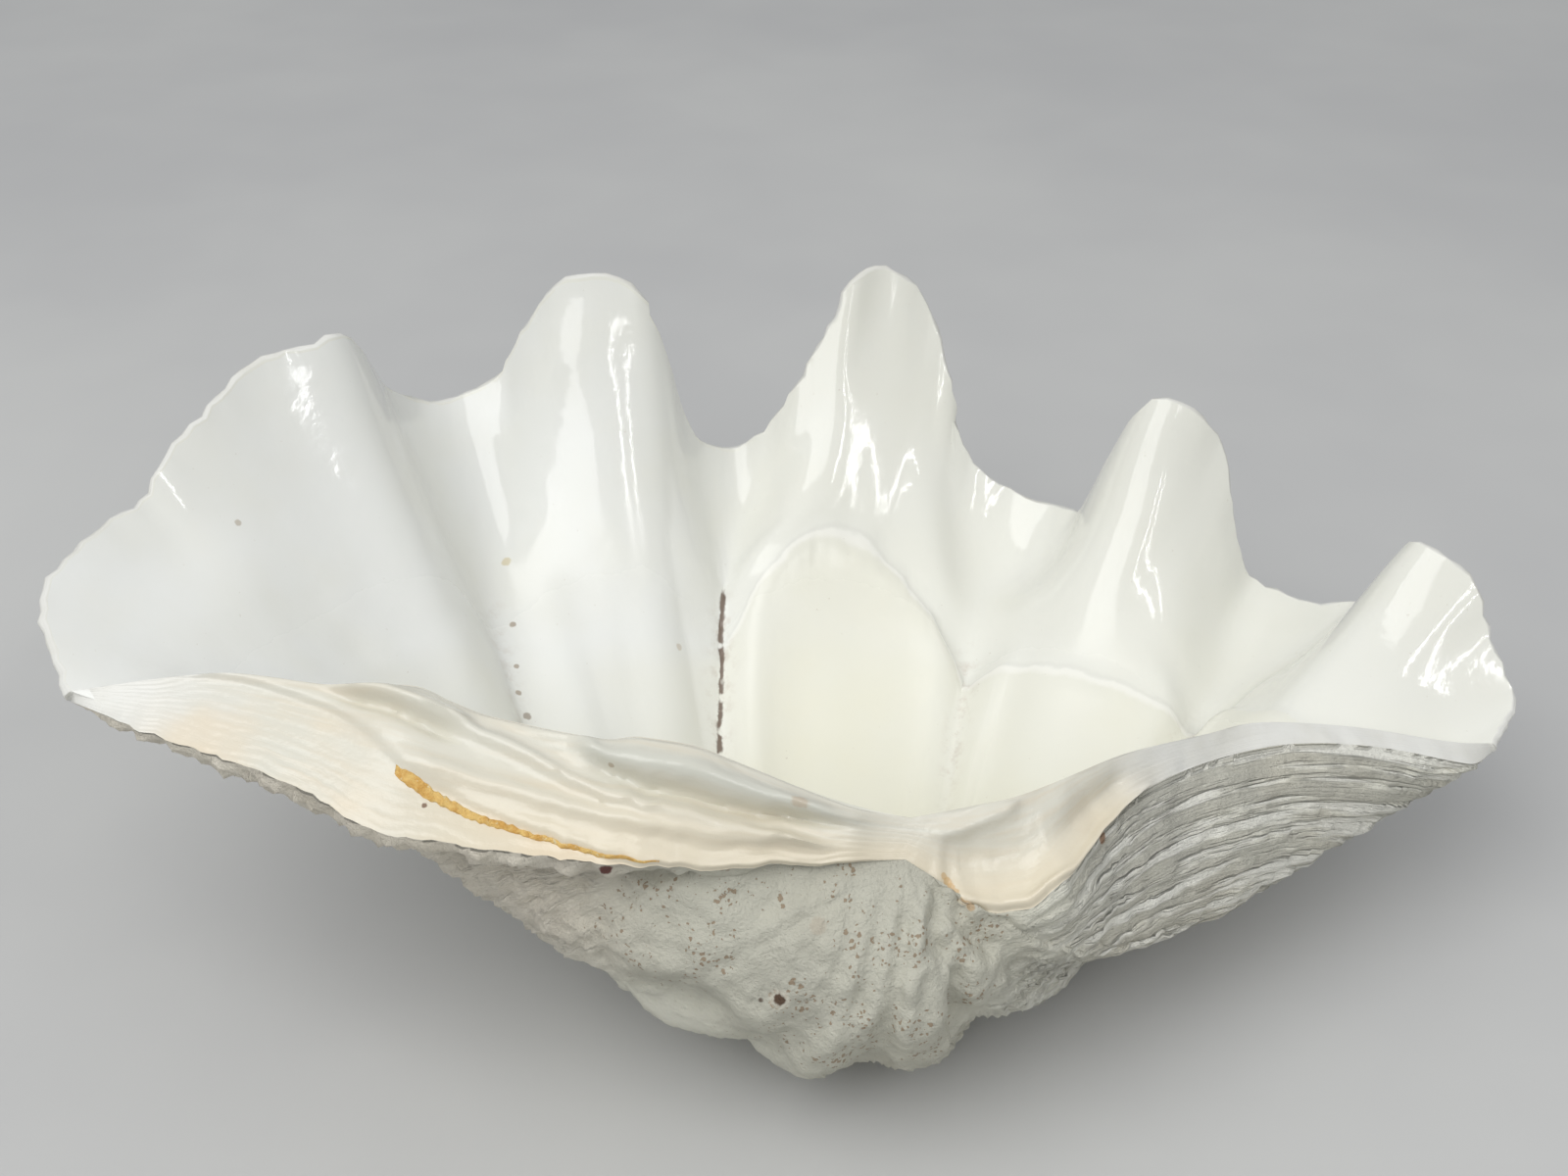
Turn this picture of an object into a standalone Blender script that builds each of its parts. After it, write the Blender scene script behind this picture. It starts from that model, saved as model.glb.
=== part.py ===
"""One valve of a giant clam, lying on its ribs with the open side up, and the dried ligament in its hinge."""

import math

import bmesh
import bpy
import numpy as np
from mathutils import Matrix

MM = 0.001

# The valve is worked out in millimetres in a frame of its own: the beak is the origin, +X runs along
# the hinge to the right, +Y from the hinge to the belly margin, and +Z out of the open side.
# A margin station is a bearing from the beak in degrees, a distance from the beak, and a rise over
# the plane where the two valves met. They run from the right hinge corner to the left one.
MARGIN = (
    (26.0, 159, -10),  # right hinge corner
    (28.5, 177, -7),  # right end
    (32.0, 176, 0),
    (34.3, 177, 6),
    (37.0, 177, 15),  # first tongue
    (41.0, 172, 18),
    (43.0, 178, 8),
    (46.0, 193, -18),
    (49.8, 183, -22),  # notch
    (55.0, 176, -18),
    (57.8, 172, -4),
    (60.8, 178, 14),
    (64.0, 173, 24),  # second tongue
    (66.3, 171, 26),
    (67.8, 172, 18),
    (68.9, 170, 4),
    (70.6, 177, -19),
    (76.5, 184, -24),  # notch
    (81.5, 186, -19),
    (83.4, 187, -12),
    (85.5, 200, 5),
    (87.2, 206, 16),
    (90.0, 207, 26),  # third tongue
    (92.4, 208, 28),
    (93.8, 202, 26),
    (95.1, 198, 14),
    (97.1, 189, -2),
    (99.5, 188, -17),
    (102.6, 189, -24),  # notch
    (106.0, 186, -20),
    (108.1, 185, -10),
    (110.5, 188, 12),
    (112.3, 196, 26),  # fourth tongue
    (114.3, 198, 28),
    (117.0, 201, 25),
    (119.0, 204, 12),
    (121.0, 206, -5),
    (125.5, 209, -12),  # notch
    (131.0, 206, -2),
    (135.0, 198, 18),
    (137.0, 196, 25),  # fifth tongue
    (139.7, 199, 23),
    (142.4, 203, 21),
    (147.0, 200, 16),
    (150.0, 199, 12),
    (152.7, 197, 8),
    (154.2, 196, 3),
    (158.3, 198, 2),
    (164.0, 197, 0),  # left end
    (172.3, 176, -5),  # left hinge corner
)
# The same margin with its folds ironed out.
PLAIN_MARGIN = (
    (26.0, 159, -10),
    (28.5, 177, -6),
    (45.0, 178, -2),
    (70.0, 182, 1),
    (100.0, 197, 3),
    (135.0, 200, 6),
    (164.0, 197, 0),
    (172.3, 176, -5),
)

# Growth: each older margin is the newest one made smaller and turned down about the hinge.
# For each bearing, the rate of shrinking for each radian turned, and the whole turn in degrees.
GROWTH = (
    (26.0, 0.92, 130),
    (45.0, 0.88, 136),
    (60.0, 0.81, 145),
    (75.0, 0.74, 150),
    (100.0, 0.71, 150),
    (115.0, 0.69, 150),
    (130.0, 0.66, 150),
    (150.0, 0.59, 150),
    (172.3, 0.60, 150),
)
BEAK_ROUNDING = 8
FOLD_AT_BEAK = 0.5
FOLD_FADE = math.radians(40)
TONGUE_FADE = math.radians(25)

# The thickness of the wall at shares of the way from the rim to the beak.
WALL = ((0.0, 2.8), (0.1, 4.6), (0.22, 6.2), (0.45, 9.0), (0.6, 12.0), (0.8, 17.0), (1.0, 14.0))

# The inside under the hinge is drawn toward this point of the hollow, from the first share of the way
# to the second, and it closes on the crest from the third.
HOLLOW = (0, 14, -14)
DRAWN_IN = (0.20, 0.55)
CLOSING = 0.84

# How far the strips beside the fan of folds bulge, as a share of their width: outside and inside.
OUTER_BULGE = 0.25
INNER_BULGE = -0.1

# The two edges of the hinge plate, as a share of the way from the beak to the hinge corner, x, y, z.
LEFT_OUTER_EDGE = (
    (0.0, 0, 0, 0),
    (0.345, -60, -11, 0),
    (0.59, -102, -9.5, 0),
    (0.71, -124, 1, 0),
    (0.90, -157, 15, -3),
)
LEFT_CREST = (
    (0.0, 0, 6, 6),
    (0.07, -12, 5, 8),
    (0.14, -24, 6.5, 10.5),
    (0.21, -36, 8, 13.5),  # near tooth
    (0.27, -47, 9, 16),
    (0.32, -56, 10, 15.5),
    (0.37, -64, 11.5, 12.5),
    (0.50, -87, 16, 11),
    (0.55, -95.5, 17.5, 12.5),  # far tooth
    (0.59, -102, 19, 14),
    (0.62, -107, 20, 13),
    (0.66, -114, 21, 10.5),
    (0.85, -147, 27, 4),
)
RIGHT_OUTER_EDGE = (
    (0.0, 0, 0, 0),
    (0.11, 16.5, -4, -8),
    (0.17, 26, -4, -6),
    (0.22, 33, 0, 0),
    (0.28, 42, 15, 0),
    (0.37, 51, 28, 0),
    (0.63, 86, 51, 0),
    (0.80, 114, 59, -3),
    (0.94, 137, 62, -7),
)
RIGHT_CREST = (
    (0.0, 0, 6, 6),
    (0.14, 18, 12, 8),
    (0.27, 36, 24, 8),
    (0.37, 47, 33, 7),
    (0.52, 68, 46, 5),
    (0.63, 82, 55, 3),
    (0.80, 110, 63, -1),
    (0.94, 134, 67, -5),
)

# Swellings and hollows of the hinge plate: x, share of the way across, half their length, height.
# Half their width is a share of the plate's width.
RELIEF_WIDTH = 0.22
PLATE_RELIEF = (
    (-46, 0.66, 24, 3.0),  # tooth beside the beak
    (-108, 0.78, 13, 3.0),  # far tooth
    (27, 0.5, 15, -3.5),  # hollow by the beak
)

# The ligament: x and share of the way across along its middle line, with half its width and its height.
LIGAMENT = (
    (-108, 0.50, 1.2, 0.7),
    (-98, 0.46, 2.6, 1.6),
    (-86, 0.32, 2.6, 2.0),
    (-70, 0.14, 2.0, 1.8),
    (-58, 0.08, 1.2, 1.0),
)
LIGAMENT_GAP = 0.3
LIGAMENT_CROWN = (0.35, 0.85, 1, 0.85, 0.35)

# How finely the skins are divided: round the fan, from rim to beak, beside the fan, across the plate.
COLUMNS = 76
ROWS = 27
STRIPS = 3
ACROSS = (0, 0.1, 0.3, 0.5, 0.7, 0.9, 1)

SHELL_COLOR = (0.82, 0.80, 0.76)
SHELL_ROUGHNESS = 0.3
LIGAMENT_COLOR = (0.62, 0.40, 0.13)
LIGAMENT_ROUGHNESS = 0.6

# How it lies: turned up at the belly side and on the left, and worn flat where it touches the ground.
PITCH = math.radians(3)
ROLL = math.radians(8)
WORN = 2.2


def eased(stations, at, column=1):
    """A smooth curve through the stations at the places asked for, which never overshoots a station."""
    table = np.asarray(stations, float)
    x, y = table[:, 0], table[:, column]
    step = np.diff(x)
    rise = np.diff(y) / step
    slope = np.concatenate(([rise[0]], np.zeros(len(x) - 2), [rise[-1]]))
    before, after = 2 * step[1:] + step[:-1], step[1:] + 2 * step[:-1]
    even = rise[:-1] * rise[1:] > 0
    with np.errstate(divide="ignore", invalid="ignore"):
        mean = (before + after) / (before / rise[:-1] + after / rise[1:])
    slope[1:-1] = np.where(even, mean, 0)
    at = np.asarray(at, float)
    k = np.clip(np.searchsorted(x, at, side="right") - 1, 0, len(x) - 2)
    t = (at - x[k]) / step[k]
    return (
        (1 + 2 * t) * (1 - t) ** 2 * y[k]
        + t * (1 - t) ** 2 * step[k] * slope[k]
        + t * t * (3 - 2 * t) * y[k + 1]
        + t * t * (t - 1) * step[k] * slope[k + 1]
    )


def ease(low, high, value):
    """0 below low, 1 above high, and a smooth step between them."""
    t = np.clip((value - low) / (high - low), 0, 1)
    return t * t * (3 - 2 * t)


def size_at(bearing, share):
    """How large the valve was when its margin had turned this share of the way to the beak, and that turn."""
    rate = eased(GROWTH, bearing, 1)
    whole = np.radians(eased(GROWTH, bearing, 2))
    turn = share * whole
    return np.exp(-rate * turn) * np.sqrt(1 - share**BEAK_ROUNDING), turn


def turned(x, y, z, turn):
    """The point turned down about the hinge, which is the X axis."""
    return np.stack(
        [x, y * np.cos(turn) + z * np.sin(turn), z * np.cos(turn) - y * np.sin(turn)], -1
    )


def outer_skin(bearing, share):
    """The outside: the margin made smaller and turned, with folds that grow stronger with age."""
    size, turn = size_at(bearing, share)
    fold = FOLD_AT_BEAK + (1 - FOLD_AT_BEAK) * np.exp(-turn / FOLD_FADE)
    tongue = np.exp(-((turn / TONGUE_FADE) ** 2))
    reach = eased(PLAIN_MARGIN, bearing, 1)
    rise = eased(PLAIN_MARGIN, bearing, 2)
    reach = reach + tongue * (eased(MARGIN, bearing, 1) - reach)
    rise = rise + fold * (eased(MARGIN, bearing, 2) - rise)
    heading = np.radians(bearing)
    return size[..., None] * turned(
        reach * np.cos(heading), reach * np.sin(heading), rise, turn
    )


def unit(v):
    """Vectors made one unit long."""
    return v / np.maximum(np.linalg.norm(v, axis=-1, keepdims=True), 1e-9)


def normals(grid):
    """Unit normals of a grid of points, on its inner side."""
    across = np.gradient(grid, axis=1)
    along = np.gradient(grid, axis=0)
    return unit(np.cross(across, along))


def edge_curve(stations, share, corner):
    """Points of one hinge edge, at shares of the way from the beak to the hinge corner."""
    table = [*stations, (1.0, *corner)]
    return np.stack([eased(table, share, k) for k in (1, 2, 3)], -1)


def inner_skin(share, outer):
    """The inside: the outer wall moved in by its thickness, closing on the crest of the hinge."""
    inward = normals(outer)
    aim = ease(*DRAWN_IN, share)[..., None]
    aimed = unit((1 - aim) * inward + aim * unit(np.array(HOLLOW) - outer))
    inner = outer + aimed * eased(WALL, share)[..., None]
    crest = np.array(LEFT_CREST[0][1:], float)
    return inner + (crest - inner) * ease(CLOSING, 1.0, share)[..., None]


def side_patch(fan_edge, plate_edge, across, bulge):
    """The strip between the last column of the fan and an edge of the hinge plate."""
    way = plate_edge - fan_edge
    out = np.stack([0 * way[:, 0], -way[:, 2], way[:, 1]], -1)
    bend = fan_edge + 0.5 * way + bulge * out
    t = np.asarray(across)[None, :, None]
    a, b, c = fan_edge[:, None], bend[:, None], plate_edge[:, None]
    return (1 - t) ** 2 * a + 2 * t * (1 - t) * b + t * t * c


def skins(columns, rows, strips):
    """The outer and the inner skin as grids of points, rim first, from the right hinge edge to the left one."""
    fine = np.linspace(MARGIN[0][0], MARGIN[-1][0], 2000)
    rim = outer_skin(fine, np.zeros(2000))
    run = np.concatenate(([0], np.cumsum(np.linalg.norm(np.diff(rim, axis=0), axis=1))))
    bearing = np.interp(np.linspace(0, run[-1], columns), run, fine)
    t = np.linspace(0, 1, rows)
    share = 0.2 * t + 0.8 * (1 - np.cos(math.pi * t)) / 2
    bearing, share = np.meshgrid(bearing, share)
    outer = outer_skin(bearing, share)
    inner = inner_skin(share, outer)
    across = np.linspace(0, 1, strips + 1)[1:]
    whole = []
    for skin, left, right, bulge in (
        (outer, LEFT_OUTER_EDGE, RIGHT_OUTER_EDGE, OUTER_BULGE),
        (inner, LEFT_CREST, RIGHT_CREST, INNER_BULGE),
    ):
        right_size = size_at(bearing[:, 0], share[:, 0])[0]
        left_size = size_at(bearing[:, -1], share[:, -1])[0]
        right_edge = edge_curve(right, right_size, skin[0, 0])
        left_edge = edge_curve(left, left_size, skin[0, -1])
        right_strip = side_patch(skin[:, 0], right_edge, across, bulge)[:, ::-1]
        left_strip = side_patch(skin[:, -1], left_edge, across, bulge)
        whole.append(np.concatenate([right_strip, skin, left_strip], axis=1))
    return whole


def border(skin):
    """The border of a skin: up the right hinge edge to the corner, round the rim, and down the left edge."""
    return np.concatenate([skin[:0:-1, 0], skin[0], skin[1:, -1]])


def joining_band(outer, inner, across):
    """The rim and the hinge plate in one band, from the border of the outside to that of the inside."""
    start, end = border(outer), border(inner)
    t = np.asarray(across)[None, :, None]
    band = (1 - t) * start[:, None] + t * end[:, None]
    hinge = np.ones(len(band))
    hinge[len(outer) - 1 : 1 - len(outer)] = 0
    for x, middle, half, height in PLATE_RELIEF:
        along = np.exp(-(((band[..., 0] - x) / half) ** 2))
        over = np.exp(-(((t[..., 0] - middle) / RELIEF_WIDTH) ** 2)) * np.sin(math.pi * t[..., 0])
        band[..., 2] += height * hinge[:, None] * along * over
    return band


def plate_strip(band, across, rows):
    """A strip of ligament over the left arm of the plate: its underside and its top, as two grids."""
    under, top = [], []
    for ring in band[rows]:
        x = ring[:, 0].mean()
        middle, half, height = (float(eased(LIGAMENT, x, k)) for k in (1, 2, 3))
        width = np.linalg.norm(ring[-1] - ring[0])
        place = middle + np.linspace(-1, 1, len(LIGAMENT_CROWN)) * half / width
        line = np.stack([np.interp(place, across, ring[:, k]) for k in range(3)], -1)
        lift = np.array([0, 0, 1.0])
        crown = np.array(LIGAMENT_CROWN)[:, None]
        under.append(line + LIGAMENT_GAP * lift)
        top.append(line + (LIGAMENT_GAP + height * crown) * lift)
    return np.array(under), np.array(top)


def posed(points):
    """Points of the valve's own frame, turned as the valve lies."""
    turn = Matrix.Rotation(ROLL, 3, "Y") @ Matrix.Rotation(PITCH, 3, "X")
    return points @ np.array(turn).T


def grid_faces(bm, grid, flip):
    """The faces of a grid of points."""
    rows, columns = grid.shape[:2]
    verts = [[bm.verts.new(p) for p in row] for row in grid.tolist()]
    for i in range(rows - 1):
        for j in range(columns - 1):
            ring = [verts[i][j], verts[i][j + 1], verts[i + 1][j + 1], verts[i + 1][j]]
            bm.faces.new(ring[::-1] if flip else ring)


def add_body(name, grids, color, roughness):
    """One closed body from grids of points that share their borders."""
    bm = bmesh.new()
    for grid, flip in grids:
        grid_faces(bm, grid * MM, flip)
    bmesh.ops.remove_doubles(bm, verts=bm.verts, dist=0.02 * MM)
    bmesh.ops.triangulate(bm, faces=bm.faces)
    bmesh.ops.recalc_face_normals(bm, faces=bm.faces)
    mesh = bpy.data.meshes.new(name)
    bm.to_mesh(mesh)
    bm.free()
    body = bpy.data.objects.new(name, mesh)
    bpy.context.scene.collection.objects.link(body)
    material = bpy.data.materials.new(name)
    material.use_nodes = True
    shader = material.node_tree.nodes["Principled BSDF"]
    shader.inputs["Base Color"].default_value = (*color, 1)
    shader.inputs["Roughness"].default_value = roughness
    mesh.materials.append(material)
    return body


for old in list(bpy.data.objects):
    bpy.data.objects.remove(old, do_unlink=True)

outer, inner = skins(COLUMNS, ROWS, STRIPS)
band = joining_band(outer, inner, ACROSS)
grids = [posed(g) for g in (outer, inner, band)]
low, high = grids[0].min(axis=(0, 1)), grids[0].max(axis=(0, 1))
base = np.array([(low[0] + high[0]) / 2, (low[1] + high[1]) / 2, low[2] + WORN])
for g in grids:
    g -= base
    g[..., 2] = np.maximum(g[..., 2], 0)
sides = [(grids[0], False), (grids[1], True), (grids[2], True)]
valve = add_body("valve", sides, SHELL_COLOR, SHELL_ROUGHNESS)

# The ligament lies on the left arm of the hinge plate, over the rows of the band that cross its length.
left_arm = np.arange(len(band) - ROWS, len(band))
middle_x = band[left_arm].mean(axis=1)[:, 0]
rows = left_arm[(middle_x > LIGAMENT[0][0]) & (middle_x < LIGAMENT[-1][0])]
under, top = plate_strip(band, ACROSS, rows)
walls = [np.stack([under[:, k], top[:, k]], axis=1) for k in (0, -1)]
ends = [np.stack([under[k], top[k]]) for k in (0, -1)]
strip = [(posed(g) - base, False) for g in (under, top, *walls, *ends)]
ligament = add_body("ligament", strip, LIGAMENT_COLOR, LIGAMENT_ROUGHNESS)
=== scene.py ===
"""One valve of a giant clam, lying on its ribs with the porcelain inside turned up."""

import math

import bmesh
import bpy
import numpy as np
from mathutils import Euler, Matrix


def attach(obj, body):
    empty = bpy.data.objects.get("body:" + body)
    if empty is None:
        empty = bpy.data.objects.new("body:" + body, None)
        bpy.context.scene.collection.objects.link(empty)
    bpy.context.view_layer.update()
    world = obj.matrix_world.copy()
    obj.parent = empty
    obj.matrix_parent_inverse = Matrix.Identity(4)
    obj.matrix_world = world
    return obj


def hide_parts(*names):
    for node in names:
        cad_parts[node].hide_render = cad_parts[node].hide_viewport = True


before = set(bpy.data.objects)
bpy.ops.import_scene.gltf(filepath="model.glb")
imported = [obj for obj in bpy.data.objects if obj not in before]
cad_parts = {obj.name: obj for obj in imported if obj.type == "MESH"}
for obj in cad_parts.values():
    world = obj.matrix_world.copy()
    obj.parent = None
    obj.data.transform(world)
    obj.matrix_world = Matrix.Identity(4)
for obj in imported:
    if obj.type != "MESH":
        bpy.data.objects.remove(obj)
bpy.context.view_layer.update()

# The viewpoint: a hand-held shot from a little over the hinge, half a metre off, across the open valve
# toward its tongues.
camera = bpy.data.objects.new("camera", bpy.data.cameras.new("camera"))
bpy.context.scene.collection.objects.link(camera)
bpy.context.scene.camera = camera
camera.data.lens = 45
camera.data.sensor_width = 36
camera.data.clip_start = 0.01
camera.location = (-0.0033, -0.3960, 0.3373)
camera.rotation_euler = Euler([math.radians(a) for a in (57.06, 0.04, 0.83)])

# How the valve grew: its margin was laid down again and again, each time larger and turned a little
# further up round the hinge. Sizes are in millimetres from the beak, with X along the hinge, Y toward the
# belly margin and Z out of the open side. A station of the margin is a bearing from the beak in degrees,
# a distance from the beak, and a rise over the plane where the two valves met.
MM = 0.001
MARGIN = (
    (26.0, 159, -10),  # right hinge corner
    (28.5, 177, -7),  # right end
    (32.0, 176, 0),
    (34.3, 177, 6),
    (37.0, 177, 15),  # first tongue
    (41.0, 172, 18),
    (43.0, 178, 8),
    (46.0, 193, -18),
    (49.8, 183, -22),  # notch
    (55.0, 176, -18),
    (57.8, 172, -4),
    (60.8, 178, 14),
    (64.0, 173, 24),  # second tongue
    (66.3, 171, 26),
    (67.8, 172, 18),
    (68.9, 170, 4),
    (70.6, 177, -19),
    (76.5, 184, -24),  # notch
    (81.5, 186, -19),
    (83.4, 187, -12),
    (85.5, 200, 5),
    (87.2, 206, 16),
    (90.0, 207, 26),  # third tongue
    (92.4, 208, 28),
    (93.8, 202, 26),
    (95.1, 198, 14),
    (97.1, 189, -2),
    (99.5, 188, -17),
    (102.6, 189, -24),  # notch
    (106.0, 186, -20),
    (108.1, 185, -10),
    (110.5, 188, 12),
    (112.3, 196, 26),  # fourth tongue
    (114.3, 198, 28),
    (117.0, 201, 25),
    (119.0, 204, 12),
    (121.0, 206, -5),
    (125.5, 209, -12),  # notch
    (131.0, 206, -2),
    (135.0, 198, 18),
    (137.0, 196, 25),  # fifth tongue
    (139.7, 199, 23),
    (142.4, 203, 21),
    (147.0, 200, 16),
    (150.0, 199, 12),
    (152.7, 197, 8),
    (154.2, 196, 3),
    (158.3, 198, 2),
    (164.0, 197, 0),  # left end
    (172.3, 176, -5),  # left hinge corner
)
# The margin as it would run without its folds.
PLAIN_MARGIN = (
    (26.0, 159, -10),
    (28.5, 177, -6),
    (45.0, 178, -2),
    (70.0, 182, 1),
    (100.0, 197, 3),
    (135.0, 200, 6),
    (164.0, 197, 0),
    (172.3, 176, -5),
)
# For each bearing, the rate of shrinking for each radian turned, and the whole turn in degrees.
GROWTH = (
    (26.0, 0.92, 130),
    (45.0, 0.88, 136),
    (60.0, 0.81, 145),
    (75.0, 0.74, 150),
    (100.0, 0.71, 150),
    (115.0, 0.69, 150),
    (130.0, 0.66, 150),
    (150.0, 0.59, 150),
    (172.3, 0.60, 150),
)
BEAK_ROUNDING = 8  # how late the shrinking rows close round the beak
FOLD_AT_BEAK = 0.5  # how much of the folds is left at the beak
FOLD_FADE = math.radians(40)  # the turn over which the folds sink
TONGUE_FADE = math.radians(25)  # the turn over which the tongues' reach past the plain margin is lost


def eased(stations, at, column=1):
    """A smooth curve through the stations at the places asked for, which never overshoots a station:
    a cubic between each two, whose slopes are the weighted harmonic mean of the two sides' slopes."""
    table = np.asarray(stations, float)
    x, y = table[:, 0], table[:, column]
    step = np.diff(x)
    rise = np.diff(y) / step
    slope = np.concatenate(([rise[0]], np.zeros(len(x) - 2), [rise[-1]]))
    before, after = 2 * step[1:] + step[:-1], step[1:] + 2 * step[:-1]
    even = rise[:-1] * rise[1:] > 0
    with np.errstate(divide="ignore", invalid="ignore"):
        mean = (before + after) / (before / rise[:-1] + after / rise[1:])
    slope[1:-1] = np.where(even, mean, 0)
    at = np.asarray(at, float)
    k = np.clip(np.searchsorted(x, at, side="right") - 1, 0, len(x) - 2)
    t = (at - x[k]) / step[k]
    return (
        (1 + 2 * t) * (1 - t) ** 2 * y[k]
        + t * (1 - t) ** 2 * step[k] * slope[k]
        + t * t * (3 - 2 * t) * y[k + 1]
        + t * t * (t - 1) * step[k] * slope[k + 1]
    )


def ease(low, high, value):
    """0 below low, 1 above high, and a smooth step between them."""
    t = np.clip((value - low) / (high - low), 0, 1)
    return t * t * (3 - 2 * t)


def bell(value, middle, width):
    """A bell curve: 1 where the value is at the middle, about a third one width away, 0 far from it."""
    return np.exp(-(((value - middle) / width) ** 2))


def unit(v):
    """Vectors made one unit long."""
    return v / np.maximum(np.linalg.norm(v, axis=-1, keepdims=True), 1e-9)


def normals(grid):
    """Unit normals of a grid of points, on the side of the open bowl."""
    return unit(np.cross(np.gradient(grid, axis=1), np.gradient(grid, axis=0)))


def grown(bearing, share, reach, rise):
    """The margin's point at this bearing, carried back this share of the way to the beak: it shrinks as
    an exponential of the angle turned, closes round the beak, and turns down about the X axis."""
    turn = share * np.radians(eased(GROWTH, bearing, 2))
    size = np.exp(-eased(GROWTH, bearing, 1) * turn) * np.sqrt(1 - share**BEAK_ROUNDING)
    x, y = reach * np.cos(np.radians(bearing)), reach * np.sin(np.radians(bearing))
    return size[..., None] * np.stack(
        [x, y * np.cos(turn) + rise * np.sin(turn), rise * np.cos(turn) - y * np.sin(turn)], -1
    )


# The grid on which both faces of the wall are worked out: bearings spaced evenly along the folded margin,
# and shares of the way from the margin to the beak, closer together at both ends.
FAN = 236  # points along the margin
STRIPS = 20  # points across the strip between the fan and the hinge, on each side
ROWS = 132  # points from the margin to the beak
FINE = 4000  # points along the margin where it is measured
fine = np.linspace(MARGIN[0][0], MARGIN[-1][0], FINE)
fine_reach, fine_rise = eased(MARGIN, fine, 1), eased(MARGIN, fine, 2)
rim_line = grown(fine, np.zeros(FINE), fine_reach, fine_rise)
run = np.concatenate(([0], np.cumsum(np.linalg.norm(np.diff(rim_line, axis=0), axis=1))))
even = np.linspace(0, 1, ROWS)
close_at_ends = 0.2 * even + 0.8 * (1 - np.cos(math.pi * even)) / 2
bearing, share = np.meshgrid(np.interp(np.linspace(0, run[-1], FAN), run, fine), close_at_ends)
turn = share * np.radians(eased(GROWTH, bearing, 2))
degrees = np.degrees(turn)
beside = np.linspace(0, 1, STRIPS + 1)[1:]

# The outer layer: chalky limestone laid down by the margin, folded like it, worn and bored by small
# animals round the beak, and stepped with old margins nearer the rim. A station of its hinge edge is the
# margin's size at the time, as a share of the last one, and the place in X, Y and Z where it ended.
LEFT_OUTER_EDGE = (
    (0.0, 0, 0, 0),
    (0.345, -60, -11, 0),
    (0.59, -102, -9.5, 0),
    (0.71, -124, 1, 0),
    (0.90, -157, 15, -3),
)
RIGHT_OUTER_EDGE = (
    (0.0, 0, 0, 0),
    (0.11, 16.5, -4, -8),
    (0.17, 26, -4, -6),
    (0.22, 33, 0, 0),
    (0.28, 42, 15, 0),
    (0.37, 51, 28, 0),
    (0.63, 86, 51, 0),
    (0.80, 114, 59, -3),
    (0.94, 137, 62, -7),
)
OUTER_BULGE = 0.25  # how far a strip swells, as a share of its width


def with_strips(fan, left_edge, right_edge, bulge):
    """A fan of points with a strip added on each side, up to the edges of the hinge plate. Across a
    strip, each row is a curve of the second degree that bulges away from the bowl."""
    size = [np.exp(-eased(GROWTH, bearing[:, k], 1) * turn[:, k]) for k in (0, -1)]
    close = np.sqrt(1 - share[:, 0] ** BEAK_ROUNDING)
    sides = []
    for k, edge, scale in ((0, right_edge, size[0]), (-1, left_edge, size[1])):
        table = [*edge, (1.0, *fan[0, k])]
        end = np.stack([eased(table, scale * close, column) for column in (1, 2, 3)], -1)
        start = fan[:, k]
        way = end - start
        bend = start + 0.5 * way + bulge * np.stack([0 * way[:, 0], -way[:, 2], way[:, 1]], -1)
        s = beside[None, :, None]
        sides.append((1 - s) ** 2 * start[:, None] + 2 * s * (1 - s) * bend[:, None] + s * s * end[:, None])
    return np.concatenate([sides[0][:, ::-1], fan, sides[1]], axis=1)


def pad(values):
    """Values of the fan carried on over the strips beside it."""
    return np.pad(values, ((0, 0), (STRIPS, STRIPS)), "edge")


def rough(points, size, seed):
    """Smooth noise of about one up or down: a sum of plane waves of about this length in millimetres,
    which run in random directions."""
    draw = np.random.default_rng(seed)
    way = unit(draw.normal(size=(24, 3))) * draw.uniform(0.6, 1.6, (24, 1)) * 2 * math.pi / size
    return np.sin(points @ way.T + draw.uniform(0, 2 * math.pi, 24)).sum(-1) / math.sqrt(24)


def rounded(values, spread):
    """Values along the fine bearings, blurred by a bell curve this many degrees wide."""
    step = fine[1] - fine[0]
    half = int(3 * spread / step)
    weights = np.exp(-((np.arange(-half, half + 1) * step / spread) ** 2) / 2)
    return np.convolve(np.pad(values, half, "edge"), weights / weights.sum(), "valid")


EDGE_WEAR = 0.5  # how far the worn edge goes in and out
WEAR_FADE = 0.03  # the turn over which the wear of the edge is lost
SOFT_BEHIND = math.radians(5)  # the turn past which the corners of the margin are rounded
fold = FOLD_AT_BEAK + (1 - FOLD_AT_BEAK) * np.exp(-turn / FOLD_FADE)
fold *= 1 - 0.8 * ease(112, 132, degrees) * ease(84, 100, bearing)  # the left of the beak is worn
fold *= 1 - 0.7 * ease(122, 140, degrees)  # and so is its tip
tongue = bell(turn, 0, TONGUE_FADE)
soft = 1 - bell(turn, 0, SOFT_BEHIND)
plain_reach, plain_rise = eased(PLAIN_MARGIN, bearing, 1), eased(PLAIN_MARGIN, bearing, 2)
reach = np.interp(bearing, fine, rounded(fine_reach, 1.2))
rise = eased(MARGIN, bearing, 2)
reach += soft * (np.interp(bearing, fine, rounded(fine_reach, 2.2)) - reach)
rise += soft * (np.interp(bearing, fine, rounded(fine_rise, 1.8)) - rise)
reach = plain_reach + tongue * (reach - plain_reach)
worn = rough(rim_line, 7, 1)[np.searchsorted(fine, bearing[0])]
reach += EDGE_WEAR * worn * np.exp(-turn / WEAR_FADE)
folded_rise = plain_rise + fold * (rise - plain_rise)
outer_fan = grown(bearing, share, reach, folded_rise)
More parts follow.
